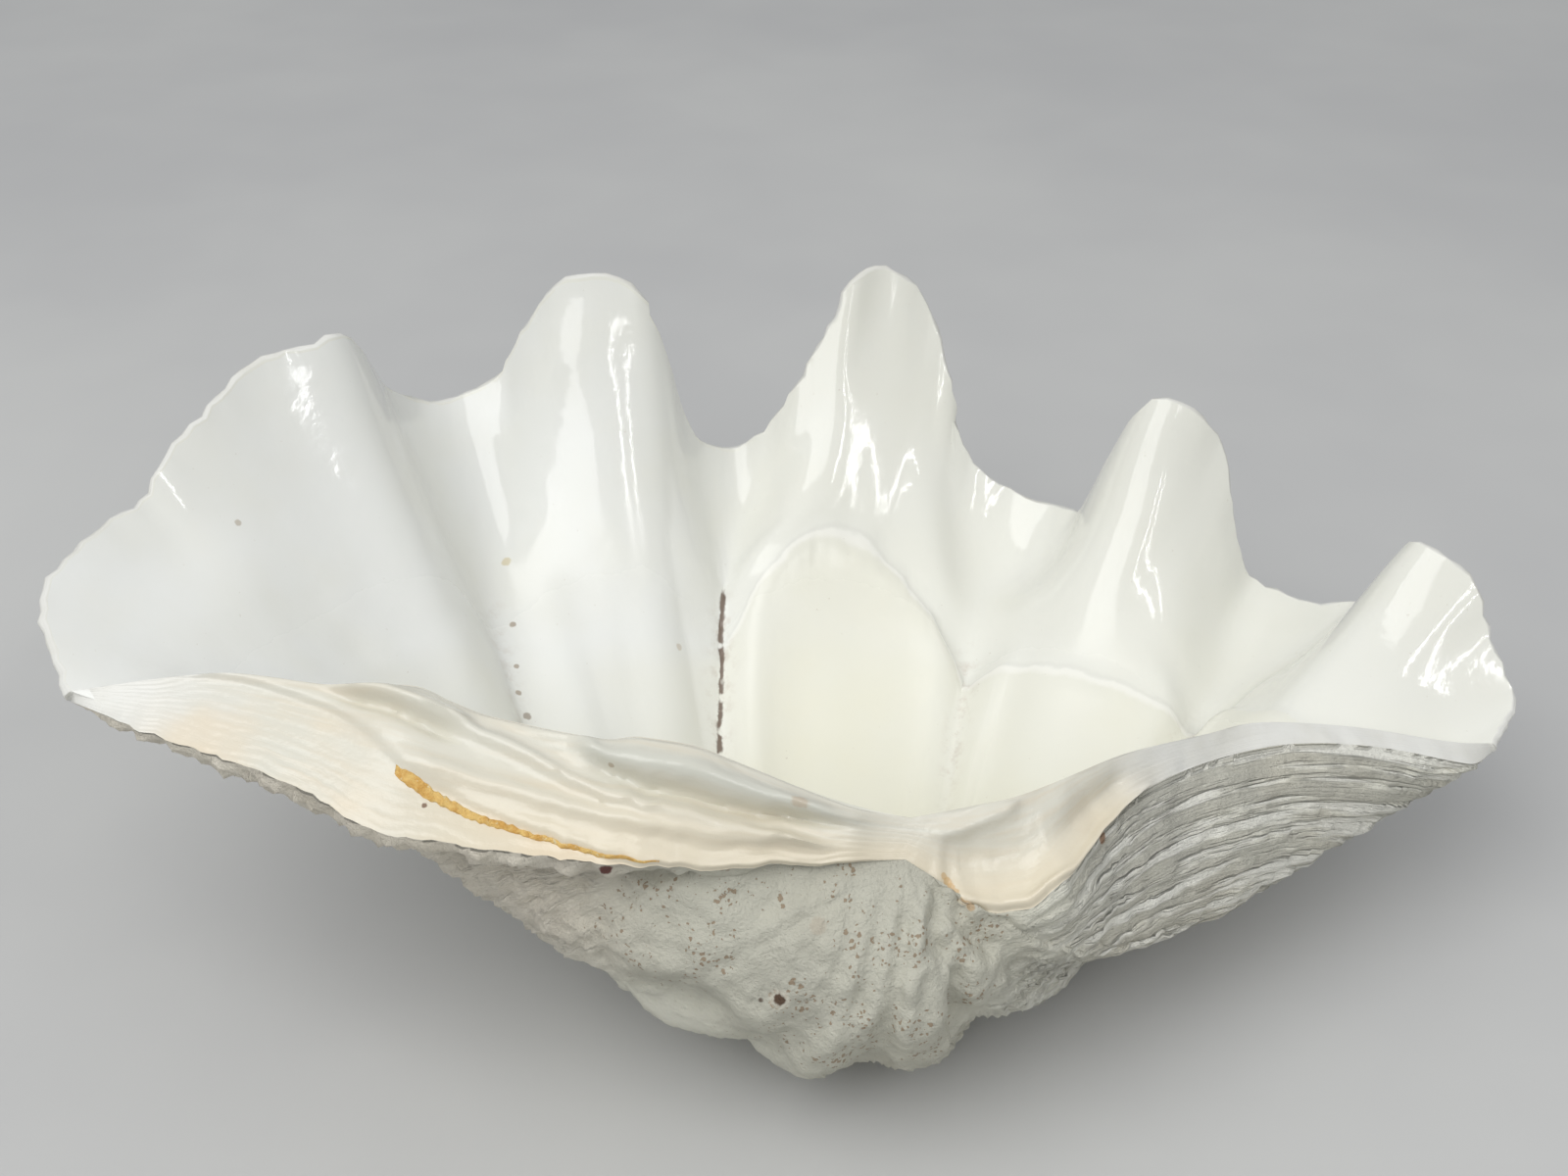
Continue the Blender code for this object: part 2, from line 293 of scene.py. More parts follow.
outside = with_strips(outer_fan, LEFT_OUTER_EDGE, RIGHT_OUTER_EDGE, OUTER_BULGE)

# Old margins stand as ledges, one behind the other, along the rim and along the right hinge edge. Nearer
# the beak the surface is lumpy, its ribs are worn, and fine threads run down from it. On the left lies
# the edge of an old break, with a dent beside it toward the belly.
LEDGE = 8.0  # from one ledge to the next
CORNER = 6.0  # how softly the ledges turn from the rim to the hinge edge
row_steps = np.linalg.norm(np.diff(outside, axis=0), axis=-1)
column_steps = np.linalg.norm(np.diff(outside, axis=1), axis=-1)
behind = np.cumsum(np.concatenate([np.zeros((1, outside.shape[1])), row_steps]), axis=0)
aside = np.cumsum(np.concatenate([np.zeros((ROWS, 1)), column_steps], axis=1), axis=1)
layers = -CORNER * np.log(np.exp(-behind / CORNER) + np.exp(-1.6 * aside / CORNER) + 1e-12)
bearings, turns = pad(bearing), pad(degrees)
phase = layers / LEDGE + 0.35 * rough(outside, 30, 2) + 0.1 * rough(outside, 9, 3)
ledge = (1 - phase % 1) ** 1.5 * (1 - ease(88, 112, turns))
old_part = ease(85, 110, turns)
knobs = ease(95, 115, turns) * (1 - ease(60, 75, bearings))
lumps = (0.45 + 0.30 * old_part) * rough(outside, 22, 4) + 0.16 * rough(outside, 4, 6)
lumps += (0.25 + 0.15 * old_part + 0.3 * knobs) * rough(outside, 8, 5)
THREADED = 14.0  # how far from the middle of the beak the threads reach
THREAD = 5.2  # from one thread to the next
sideways = (outside[..., 0] - 4) / (1 - 0.012 * np.minimum(outside[..., 2], 0))  # they spread downward
threads = 0.6 * ease(112, 124, turns) * np.exp(-((sideways / THREADED) ** 4))
threads *= np.cos(2 * math.pi * sideways / THREAD)
OLD_BREAK = ((146.0, 103), (155.0, 108), (163.0, 115), (172.3, 124))  # the turn at each bearing
past_break = turns - eased(OLD_BREAK, bearings)
break_relief = 0.9 * ease(-1.2, 1.2, past_break) + 0.6 * ease(1, -2, past_break) * rough(outside, 5, 20)
lumps += ease(142, 149, bearings) * break_relief
lumps -= 5.5 * bell(bearings, 131, 11) * bell(turns, 106, 10)
off_edge = np.minimum(ease(0, 5, behind), ease(0, 3, aside)) * ease(0, 3, aside[:, -1:] - aside)
off_edge = np.maximum(off_edge, 0.4 * ease(0.02, 0.07, share[:, :1]))  # the hinge edge stays ragged
off_beak = ease(1.0, 0.97, share[:, :1])
outer_relief = (1.1 * ledge + lumps + threads) * off_edge * off_beak
outside = outside - normals(outside) * outer_relief[..., None]

# The inner layer: smooth porcelain, thin at the rim and thick toward the hinge, which closes under it.
# Each share of the way to the beak has a thickness, and the thick part grows toward a hollow under the
# plate. The crest is the plate's inner edge, with stations like those of its outer edge.
WALL = ((0.0, 2.8), (0.1, 4.6), (0.22, 6.2), (0.45, 9.0), (0.6, 12.0), (0.8, 17.0), (1.0, 14.0))
HOLLOW = (0, 14, -14)
LEFT_CREST = (
    (0.0, 0, 6, 6),
    (0.07, -12, 5, 8),
    (0.14, -24, 6.5, 10.5),
    (0.21, -36, 8, 13.5),  # near tooth
    (0.27, -47, 9, 16),
    (0.32, -56, 10, 15.5),
    (0.37, -64, 11.5, 12.5),
    (0.50, -87, 16, 11),
    (0.55, -95.5, 17.5, 12.5),  # far tooth
    (0.59, -102, 19, 14),
    (0.62, -107, 20, 13),
    (0.66, -114, 21, 10.5),
    (0.85, -147, 27, 4),
)
RIGHT_CREST = (
    (0.0, 0, 6, 6),
    (0.14, 18, 12, 8),
    (0.27, 36, 24, 8),
    (0.37, 47, 33, 7),
    (0.52, 68, 46, 5),
    (0.63, 82, 55, 3),
    (0.80, 110, 63, -1),
    (0.94, 134, 67, -5),
)
INNER_BULGE = -0.1

# Inside, the folds turn from waves at the rim into broad cushions that meet in sharp creases, and die
# away toward the floor. Each crease has a bearing, a lean in degrees for each degree turned past where
# the lean begins, how round its valley is before it turns sharp, the turn at which it does, and its dirt.
LEAN_FROM = 12
CREASES = (
    (51.5, -0.05, 3.0, 21, 0.8),
    (78.3, -0.05, 4.0, 24, 0.8),
    (104.8, 0.17, 1.5, 18, 0.8),
    (126.5, 0.28, 4.5, 90, 0.45),
)
CUSHION = 13.0  # degrees from a crease to the level part of a cushion
# For each bearing, the rise of the cushions, and for each degree turned, the depth of the creases.
CUSHION_TOPS = (
    (26.0, -8),
    (37.0, 14),
    (64.5, 23),
    (91.0, 26),
    (114.5, 26),
    (138.0, 22),
    (152.0, 11),
    (172.3, -5),
)
CREASE_DEPTH = ((0, 40), (14, 28), (22, 22), (32, 15), (50, 9), (75, 5), (110, 3), (160, 0))
to_crease = np.full(bearing.shape, 90.0)
dirt = np.zeros(bearing.shape)
for at, lean, roundness, sharp_from, dirtiness in CREASES:
    gap = bearing - at - lean * np.maximum(degrees - LEAN_FROM, 0)
    radius = 0.05 + roundness * (1 - ease(sharp_from - 6, sharp_from, degrees))
    to_crease = np.minimum(to_crease, np.sqrt(gap**2 + radius**2) - radius)
    smear = bell(gap, 0, 1.5) * ease(16, 22, degrees) * (1 - ease(34, 46, degrees))
    dirt = np.maximum(dirt, dirtiness * smear)
dip = (1 - np.clip(to_crease / CUSHION, 0, 1)) ** 2.2
tops = plain_rise + fold * (eased(CUSHION_TOPS, bearing) - plain_rise)
cushioned = np.maximum(tops - eased(CREASE_DEPTH, degrees) * dip, folded_rise)
inner_rise = folded_rise + ease(4, 17, degrees) * (cushioned - folded_rise)
lining = grown(bearing, share, reach, inner_rise)
aim = ease(0.2, 0.55, share)[..., None]
inward = unit((1 - aim) * normals(outer_fan) + aim * unit(np.array(HOLLOW) - outer_fan))
inner_fan = lining + inward * eased(WALL, share)[..., None]

# The mantle was fixed along a line, below which the porcelain is a little thicker and creamier. The line
# has a turn for each bearing. It stands out as a brow on the middle tongue, and the tongue to the left
# of that has a swelling on its left side.
MANTLE_LINE = (
    (26.0, 17),
    (38.0, 19),
    (51.7, 20.3),
    (58.4, 23.0),
    (67.4, 23.7),
    (73.0, 24.0),
    (77.3, 23.6),
    (81.7, 20.8),
    (86.4, 19.6),
    (91.5, 17.6),
    (94.3, 17.0),
    (98.0, 18.3),
    (101.8, 20.6),
    (106.0, 23.0),
    (111.2, 25.4),
    (116.0, 27.6),
    (120.0, 27.9),
    (125.5, 26.5),
    (130.0, 24.0),
    (140.0, 28),
    (172.3, 31),
)
past_line = degrees - eased(MANTLE_LINE, bearing) + 0.25 * rough(inner_fan, 12, 7)
thicker = 1.4 * ease(-0.6, 0.7, past_line) * (1 - ease(34, 60, degrees))
thicker *= 1 - 0.75 * ease(103, 112, bearing)
brow = bell(past_line, 1.0, 1.3) * bell(bearing, 90, 6.5) * (0.6 + 0.5 * rough(inner_fan, 3.2, 8))
swelling = 2.0 * bell(bearing, 118.5, 3.2) * ease(0.5, 5, degrees) * (1 - ease(12, 24, degrees))
lift = thicker + brow + swelling + 0.1 * rough(inner_fan, 16, 9) * ease(14, 26, degrees)
inner_fan += inward * lift[..., None]
inner_fan += (np.array(LEFT_CREST[0][1:]) - inner_fan) * ease(0.84, 1.0, share)[..., None]
inside = with_strips(inner_fan, LEFT_CREST, RIGHT_CREST, INNER_BULGE)

# The rim and the hinge plate: one band of shell joins the two faces all the way round. On the hinge it
# is wide and polished, with the teeth that locked the valves and ridges that all run to the beak.
BAND = 52  # points across the band, closer together at both edges


def border(skin):
    """The border of a face: up the right hinge edge to the corner, round the rim, down the left edge."""
    return np.concatenate([skin[:0:-1, 0], skin[0], skin[1:, -1]])


across = 0.5 - 0.5 * np.cos(np.linspace(0, math.pi, BAND))[None, :]
start, end = border(outside), border(inside)
band = start[:, None] + across[..., None] * (end - start)[:, None]
along = border(pad(share))[:, None]
side = np.concatenate([np.full(ROWS - 1, -1), np.zeros(outside.shape[1]), np.ones(ROWS - 1)])[:, None]


def ridge(stations, width, height):
    """A ridge on the plate, or a groove if its height is below zero: a bell curve across a line whose
    place across the plate changes with the share of the way to the beak, faded at its ends."""
    first, last = stations[0][0], stations[-1][0]
    window = ease(first - 0.02, first + 0.04, along) * (1 - ease(last - 0.03, last + 0.02, along))
    return height * window * bell(across, eased(stations, along), width)


# Lines on the plate: for each share of the way to the beak, the place across it from the outer edge. The
# left plate steps up from a flat part along the step line, and the near tooth is the larger one.
STEP_LINE = (
    (0.0, 1.1),
    (0.20, 0.82),
    (0.24, 0.76),
    (0.29, 0.62),
    (0.34, 0.44),
    (0.46, 0.27),
    (0.6, 0.12),
    (1.0, -0.2),
)
FAR_TOOTH = ((0.235, 0.96), (0.29, 0.93), (0.35, 0.87), (0.41, 0.87))
FAR_GROOVE = ((0.235, 0.91), (0.29, 0.85), (0.342, 0.77), (0.40, 0.75))
LOW_RIDGE = ((0.335, 0.50), (0.461, 0.459), (0.616, 0.377), (0.839, 0.299), (0.96, 0.29))
HIGH_RIDGE = (
    (0.39, 0.82),
    (0.45, 0.80),
    (0.51, 0.73),
    (0.572, 0.623),
    (0.73, 0.46),
    (0.892, 0.377),
    (0.97, 0.30),
)
NEAR_TOOTH = ((0.58, 0.90), (0.68, 0.80), (0.80, 0.79), (0.90, 0.76), (0.985, 0.80))
NEAR_GROOVE = ((0.60, 0.80), (0.658, 0.71), (0.73, 0.60), (0.805, 0.58), (0.892, 0.56), (0.975, 0.64))
left_relief = (
    ridge(FAR_TOOTH, 0.055, 2.8)
    + ridge(FAR_GROOVE, 0.055, -2.6)
    + ridge(LOW_RIDGE, 0.07, 1.9)
    + ridge(HIGH_RIDGE, 0.06, 2.1)
    + ridge(NEAR_TOOTH, 0.12, 3.2)
    + ridge(NEAR_GROOVE, 0.06, -2.7)
    + 1.4 * ease(-0.04, 0.04, across - eased(STEP_LINE, along))
    + 0.06 * np.sin(across * 60 + 4 * rough(band, 25, 11))
)
LIP = ((0.45, 0.05), (0.6, 0.06), (0.8, 0.08), (0.95, 0.10))
SCOOP = ((0.48, 0.45), (0.7, 0.45), (0.97, 0.5))
BESIDE_BEAK = ((0.80, 0.93), (0.9, 0.85), (0.99, 0.7))
right_relief = (
    ridge(LIP, 0.06, 1.8)
    + ridge(SCOOP, 0.24, -2.2)
    + ridge(BESIDE_BEAK, 0.09, 1.4)
    + 0.12 * rough(band, 9, 12)
)
rim_relief = np.sin(math.pi * across) ** 0.8 * (0.9 + 0.25 * rough(band, 5, 13))
relief = np.where(side > 0, left_relief, np.where(side < 0, right_relief, rim_relief))
out_of_plate = normals(band)
out_of_plate *= np.sign(out_of_plate[-ROWS // 2, BAND // 2, 2])
up = out_of_plate[-ROWS // 2, BAND // 2]  # at the middle of the left plate
relief *= ease(0, 0.04, across) * ease(1, 0.96, across) * np.where(side == 0, 1, ease(0, 0.06, along))
band = band + out_of_plate * (relief * ease(1.0, 0.985, along))[..., None]

# The valve as it lies: turned up at the belly side and on the left, and worn flat where it touches the
# ground. Its three surfaces are joined into one body, which carries what the finishes need to know.
PITCH = math.radians(3)
ROLL = math.radians(8)
BEAK_PLACE = (16.865, -92.315, 75.119)


def laid(points):
    """Points of the valve's own frame, turned as it lies and set over the ground, in metres."""
    turned = Matrix.Rotation(ROLL, 3, "Y") @ Matrix.Rotation(PITCH, 3, "X")
    placed = points @ np.array(turned).T + BEAK_PLACE
    placed[..., 2] = np.maximum(placed[..., 2], 0)
    return placed * MM


def grid_quads(rows, columns, first, flip):
    """Corner numbers of the quads of a grid whose points are numbered row by row from first."""
    corner = first + np.arange(rows * columns).reshape(rows, columns)
    quads = np.stack([corner[:-1, :-1], corner[:-1, 1:], corner[1:, 1:], corner[1:, :-1]], -1)
    return (quads[..., ::-1] if flip else quads).reshape(-1, 4)


def joined_body(name, grids, marks):
    """One closed body from grids of points that share their borders, with each face's grid number as
    its material number, and with three numbers at each point for each kind of mark."""
    points = np.concatenate([g.reshape(-1, 3) for g, _ in grids])
    first = np.cumsum([0] + [g.shape[0] * g.shape[1] for g, _ in grids])
    quads = [grid_quads(*g.shape[:2], f, flip) for (g, flip), f in zip(grids, first)]
    mesh = bpy.data.meshes.new(name)
    mesh.from_pydata(points, [], np.concatenate(quads))
    slot = np.repeat(np.arange(len(quads)), [len(q) for q in quads])
    mesh.polygons.foreach_set("material_index", slot)
    for mark, values in marks.items():
        layer = mesh.attributes.new(mark, "FLOAT_VECTOR", "POINT")
        layer.data.foreach_set("vector", np.concatenate([v.reshape(-1, 3) for v in values]).ravel())
    bm = bmesh.new()
    bm.from_mesh(mesh)
    bmesh.ops.remove_doubles(bm, verts=bm.verts, dist=0.00002)
    bm.to_mesh(mesh)
    bm.free()
    mesh.shade_smooth()
    mesh.set_sharp_from_angle(angle=math.radians(55))
    piece = bpy.data.objects.new(name, mesh)
    bpy.context.scene.collection.objects.link(piece)
    return piece


def three(grid, *values):
    """Three numbers at each point of a grid."""
    return np.stack([np.broadcast_to(v, grid.shape[:2]) for v in values], -1).astype(np.float32)


# The finishes read growth as the bearing, the turn, and either the distance behind the rim or the degrees
# past the mantle line. On the band it is the share of the way to the beak, the place across and the side.
growth_out = three(outside, bearings, turns, layers)
growth_in = three(inside, bearings, turns, pad(past_line))
growth_band = three(band, along, across, side)
umbo = ease(88, 118, turns)
left_wear = ease(135, 160, bearings) * (1 - ease(100, 130, turns))
shelves = (1 - ease(70, 100, turns)) * (1 - ease(40, 60, bearings))
tints_out = three(outside, umbo, left_wear, shelves)
cream = (0.45 + 0.55 * ease(6, 22, past_line)) * (1 - 0.5 * ease(112, 125, bearing))
dull = ease(12, 26, degrees)
tints_in = three(inside, pad(cream), pad(dirt), pad(dull))
flat_area = (side > 0) * ease(0.02, -0.05, across - eased(STEP_LINE, along)) * ease(0.04, 0.12, along)
near_tooth = (side > 0) * ridge(NEAR_TOOTH, 0.12, 1)
warmth = np.where(side > 0, ease(0.02, 0.2, along), np.abs(side) * ease(0.35, 0.6, along))
tints_band = three(band, warmth, flat_area, near_tooth)
shell = joined_body(
    "shell",
    [(laid(outside), False), (laid(inside), True), (laid(band), True)],
    {"growth": (growth_out, growth_in, growth_band), "tints": (tints_out, tints_in, tints_band)},
)
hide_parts("valve")
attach(shell, "root")


def node(tree, kind, settings=None, inputs=None):
    """A node of this kind, with its settings and with inputs that are values or other nodes' outputs."""
    made = tree.nodes.new("ShaderNode" + kind)
    for key, value in (settings or {}).items():
        setattr(made, key, value)
    for key, value in (inputs or {}).items():
        if isinstance(value, bpy.types.NodeSocket):
            tree.links.new(value, made.inputs[key])
        else:
            made.inputs[key].default_value = value
    return made


def math_node(tree, operation, *values):
    """The output of one sum, product or other step on single numbers."""
    return node(tree, "Math", {"operation": operation}, dict(enumerate(values))).outputs[0]


def times(tree, product, *factors):
    """The product of two or more numbers."""
    for factor in factors:
        product = math_node(tree, "MULTIPLY", product, factor)
    return product


def between(tree, value, low, high):
    """0 where the value is low and 1 where it is high, held there beyond, with a smooth step between."""
    made = node(tree, "MapRange", {"interpolation_type": "SMOOTHSTEP"}, {0: value, 1: low, 2: high})
    return made.outputs[0]


def tinted(tree, amount, under, over):
    """The colour under, covered with the colour over by this amount."""
    made = node(tree, "Mix", {"data_type": "RGBA"}, {0: amount, 6: under, 7: over})
    return made.outputs[2]


def grain(tree, scale, detail=4, rough=0.6, vector=None):
    """Noise in the material, in grains per metre, from 0 to 1."""
    settings = {"Scale": scale, "Detail": detail, "Roughness": rough}
    settings["Vector"] = vector or node(tree, "TexCoord").outputs["Object"]
    return node(tree, "TexNoise", None, settings).outputs[0]


def spot_group():
    """A round spot with a ragged edge, at a place in metres: 1 inside, 0 outside."""
    group = bpy.data.node_groups.new("spot", "ShaderNodeTree")
    for name, kind in (("Place", "NodeSocketVector"), ("Radius", "NodeSocketFloat")):
        group.interface.new_socket(name, in_out="INPUT", socket_type=kind)
    group.interface.new_socket("Mask", in_out="OUTPUT", socket_type="NodeSocketFloat")
    given = group.nodes.new("NodeGroupInput")
    gap = node(
        group,
        "VectorMath",
        {"operation": "DISTANCE"},
        {0: node(group, "TexCoord").outputs["Object"], 1: given.outputs["Place"]},
    ).outputs["Value"]
    ragged = math_node(group, "MULTIPLY_ADD", grain(group, 900, 3), 0.9, 0.55)
    out = math_node(group, "DIVIDE", gap, times(group, given.outputs["Radius"], ragged))
    mask = math_node(group, "SUBTRACT", 1.0, between(group, out, 0.75, 1.15))
    group.links.new(mask, group.nodes.new("NodeGroupOutput").inputs["Mask"])
    return group


SPOT = spot_group()


def spotted(tree, colour, spots):
    """The colour with spots over it: each has a place in millimetres, a radius, a colour and a strength."""
    for place, radius, over, strength in spots:
        inputs = {"Place": [v * MM for v in place], "Radius": radius * MM}
        mask = node(tree, "Group", {"node_tree": SPOT}, inputs).outputs["Mask"]
        colour = tinted(tree, times(tree, mask, strength), colour, (*over, 1))
    return colour


def finish(name, roughness):
    """A new finish, its node tree and its shader."""
    material = bpy.data.materials.new(name)
    material.use_nodes = True
    shader = material.node_tree.nodes["Principled BSDF"]
    shader.inputs["Roughness"].default_value = roughness
    return material, material.node_tree, shader


def read(tree, name):
    """The three numbers that the mesh carries under this name."""
    vector = node(tree, "Attribute", {"attribute_name": name}).outputs["Vector"]
    return node(tree, "SeparateXYZ", None, {0: vector}).outputs


def bumped(tree, shader, height, distance):
    """The shader's surface raised and lowered by this height, times this many metres."""
    bump = node(tree, "Bump", None, {"Height": height, "Distance": distance})
    tree.links.new(bump.outputs[0], shader.inputs["Normal"])


def along_margins(tree, growth, behind, around, turned):
    """A place for noise that is drawn out along the old margins: the distance behind the rim, the bearing
    and the turn, each times its own number."""
    place = {0: times(tree, growth[2], behind), 1: times(tree, growth[0], around)}
    place[2] = times(tree, growth[1], turned)
    return node(tree, "CombineXYZ", None, place).outputs[0]


# The outside is chalky, grey-white and rough: thin old margins one behind the other, pale on their crests
# and with painted shade in the gaps, brown specks in the pits round the beak, a few stains, and a few
# holes painted as dark discs of shade.
chalk, tree, shader = finish("chalk outside", 0.72)
growth, tints = read(tree, "growth"), read(tree, "tints")
umbo_wear, left_wear, shelves = tints
lines = grain(tree, 1.0, 4, 0.65, along_margins(tree, growth, 0.55, 0.09, 0.05))
lines = math_node(tree, "MULTIPLY_ADD", lines, 4.0, -2.0)
lines = times(tree, lines, math_node(tree, "MULTIPLY_ADD", umbo_wear, -0.85, 1.0))
lamella = grain(tree, 1.0, 3, 0.5, along_margins(tree, growth, 0.27, 0.06, 0.05))
lamella = between(tree, lamella, 0.40, 0.58)
shelved = math_node(tree, "MULTIPLY_ADD", shelves, 0.75, 0.25)
shelved = times(tree, shelved, math_node(tree, "SUBTRACT", 1.0, umbo_wear))
patches = between(tree, grain(tree, 38, 5, 0.65), 0.42, 0.64)
colour = tinted(tree, patches, (0.70, 0.69, 0.585, 1), (0.55, 0.54, 0.46, 1))
colour = tinted(tree, between(tree, grain(tree, 16, 3), 0.48, 0.72), colour, (0.68, 0.645, 0.52, 1))
colour = tinted(tree, times(tree, lamella, shelved, 0.7), colour, (0.86, 0.85, 0.78, 1))
# Painted shade: darker where the fine lines' bump is lowest, in the grooves between the old margins.
colour = tinted(tree, times(tree, between(tree, lines, -0.15, -0.8), 0.3), colour, (0.40, 0.39, 0.35, 1))
# Painted shade in the gaps between the thicker lamellae, where their bump is lowest.
painted_gap_shade = times(tree, between(tree, lamella, 0.35, 0.0), shelved, 0.45)
colour = tinted(tree, painted_gap_shade, colour, (0.36, 0.35, 0.31, 1))
colour = tinted(tree, times(tree, left_wear, 0.5), colour, (0.74, 0.66, 0.55, 1))
colour = tinted(tree, times(tree, umbo_wear, 0.6), colour, (0.42, 0.41, 0.34, 1))
place = node(tree, "TexCoord").outputs["Object"]
shaken = node(tree, "TexNoise", None, {"Vector": place, "Scale": 900.0}).outputs["Color"]
uneven = node(tree, "VectorMath", {"operation": "MULTIPLY_ADD"}, {0: shaken, 1: (0.0016,) * 3, 2: place})
cells = node(tree, "TexVoronoi", None, {"Scale": 750.0, "Vector": uneven.outputs[0]})
speck_size = times(tree, between(tree, grain(tree, 90, 5, 0.75), 0.44, 0.64), 0.40, umbo_wear)
specks = math_node(tree, "LESS_THAN", cells.outputs["Distance"], speck_size)
colour = tinted(tree, times(tree, specks, 0.75), colour, (0.27, 0.18, 0.10, 1))
OUTSIDE_SPOTS = (
    ((-8.6, -109.4, 52.6), 2.4, (0.60, 0.57, 0.48), 0.7),  # pale ring round the borer hole
    # The borer hole and the small pit are dark discs of painted shade; the mesh has no hole there.
    ((-8.6, -109.4, 52.6), 1.3, (0.07, 0.03, 0.01), 0.95),  # borer hole
    ((-12.6, -109.0, 51.5), 0.8, (0.09, 0.06, 0.04), 0.9),  # small pit
    ((-42.8, -102.8, 81.0), 1.4, (0.10, 0.015, 0.01), 0.95),  # red dot under the plate
    ((59.0, -77.6, 68.8), 1.3, (0.33, 0.17, 0.08), 0.85),  # brown mark at the right plate
    ((27.3, -94.4, 68.1), 1.1, (0.50, 0.30, 0.12), 0.7),  # amber line beside the beak
    ((28.7, -95.5, 67.3), 1.1, (0.50, 0.30, 0.12), 0.7),
    ((30.0, -96.5, 66.5), 1.0, (0.50, 0.30, 0.12), 0.6),
    ((-0.9, -104.4, 68.0), 1.9, (0.40, 0.30, 0.21), 0.28),  # faint ring mark
)
colour = spotted(tree, colour, OUTSIDE_SPOTS)
tree.links.new(colour, shader.inputs["Base Color"])
height = math_node(tree, "MULTIPLY_ADD", lines, 0.25, times(tree, grain(tree, 260, 6, 0.7), 1.2))
height = math_node(tree, "ADD", height, times(tree, lamella, shelved, 1.3))
height = math_node(tree, "ADD", height, times(tree, grain(tree, 1200, 3, 0.6), 0.35))
height = math_node(tree, "SUBTRACT", height, times(tree, specks, 0.8))
bumped(tree, shader, height, 0.0011)

# The inside is smooth porcelain, whitest at the tongues and cream below the mantle line, with a thin line
# of painted highlight along the step at that line and a band of painted shade on its rim side, smears in
# the creases, and one crease packed with dark dirt.
porcelain, tree, shader = finish("porcelain inside", 0.12)
growth, tints = read(tree, "growth"), read(tree, "tints")
cream, dirt, dull = tints
cloud = between(tree, grain(tree, 22, 3), 0.35, 0.70)
colour = tinted(tree, cloud, (0.785, 0.79, 0.755, 1), (0.765, 0.765, 0.71, 1))
yellowed = times(tree, between(tree, growth[0], 118, 92), 0.45)
colour = tinted(tree, yellowed, colour, (0.76, 0.75, 0.65, 1))
past = math_node(tree, "ADD", growth[2], math_node(tree, "MULTIPLY_ADD", grain(tree, 300, 3), 0.7, -0.35))
blend = math_node(tree, "MULTIPLY_ADD", between(tree, growth[0], 103, 115), 6.0, 0.3)
creamy = times(tree, cream, math_node(tree, "MULTIPLY_ADD", cloud, 0.35, 0.65))
creamy = times(tree, creamy, between(tree, past, -0.3, blend))
colour = tinted(tree, creamy, colour, (0.765, 0.745, 0.61, 1))
# Where the mantle line's step shows, a pale line of painted highlight lies on its edge and a darker band of
# painted shade lies on its rim side.
clear = times(tree, between(tree, growth[0], 110, 103), between(tree, growth[0], 44, 52))
painted_step_highlight = times(tree, between(tree, past, -0.35, 0.1), between(tree, past, 1.0, 0.3), clear, 0.5)
colour = tinted(tree, painted_step_highlight, colour, (0.90, 0.89, 0.84, 1))
painted_step_shade = times(tree, between(tree, past, -0.9, -0.4), between(tree, past, 0.0, -0.3), clear, 0.2)
colour = tinted(tree, painted_step_shade, colour, (0.60, 0.59, 0.54, 1))
smear = times(tree, dirt, between(tree, grain(tree, 240, 5, 0.7), 0.46, 0.66), 0.55)
colour = tinted(tree, smear, colour, (0.50, 0.42, 0.34, 1))
packed_at, packed_lean = CREASES[2][:2]
leaning = math_node(tree, "MAXIMUM", math_node(tree, "SUBTRACT", growth[1], LEAN_FROM), 0.0)
middle = math_node(tree, "MULTIPLY_ADD", leaning, packed_lean, packed_at)
offset = math_node(tree, "ABSOLUTE", math_node(tree, "SUBTRACT", growth[0], middle))
ragged = math_node(tree, "MULTIPLY_ADD", grain(tree, 420, 3), 0.8, -0.05)
packed = between(tree, offset, times(tree, ragged, 1.3), times(tree, ragged, 0.5))
span = times(tree, between(tree, growth[1], 16.0, 17.0), between(tree, growth[1], 42, 39))
packed = times(tree, packed, span, between(tree, grain(tree, 150, 2), 0.36, 0.46), 0.9)
colour = tinted(tree, packed, colour, (0.13, 0.08, 0.05, 1))
dust = between(tree, grain(tree, 750, 2), 0.735, 0.78)
colour = tinted(tree, times(tree, dust, 0.35), colour, (0.45, 0.38, 0.28, 1))
INSIDE_SPOTS = (
    ((-83.4, 42.7, 60.7), 1.3, (0.58, 0.48, 0.25), 0.6),  # yellow grain
    ((-80.2, 25.8, 52.1), 0.9, (0.30, 0.22, 0.14), 0.7),  # dark grains in a row down the left crease
    ((-78.0, 13.5, 47.4), 0.7, (0.30, 0.22, 0.14), 0.7),
    ((-76.6, 5.5, 44.9), 0.8, (0.30, 0.22, 0.14), 0.7),
    ((-73.8, -1.0, 42.4), 1.1, (0.26, 0.20, 0.14), 0.7),
    ((-37.4, 29.5, 42.8), 1.0, (0.50, 0.41, 0.30), 0.5),  # faint grain on the left cushion
    ((-137.1, -4.1, 100.5), 0.9, (0.40, 0.33, 0.24), 0.6),  # olive mark near the left end
)
colour = spotted(tree, colour, INSIDE_SPOTS)
tree.links.new(colour, shader.inputs["Base Color"])
roughness = math_node(tree, "MULTIPLY_ADD", dull, 0.26, 0.05)
roughness = math_node(tree, "MULTIPLY_ADD", grain(tree, 120, 4), 0.06, roughness)
tree.links.new(roughness, shader.inputs["Roughness"])
bumped(tree, shader, grain(tree, 160, 3, 0.5), 0.0001)

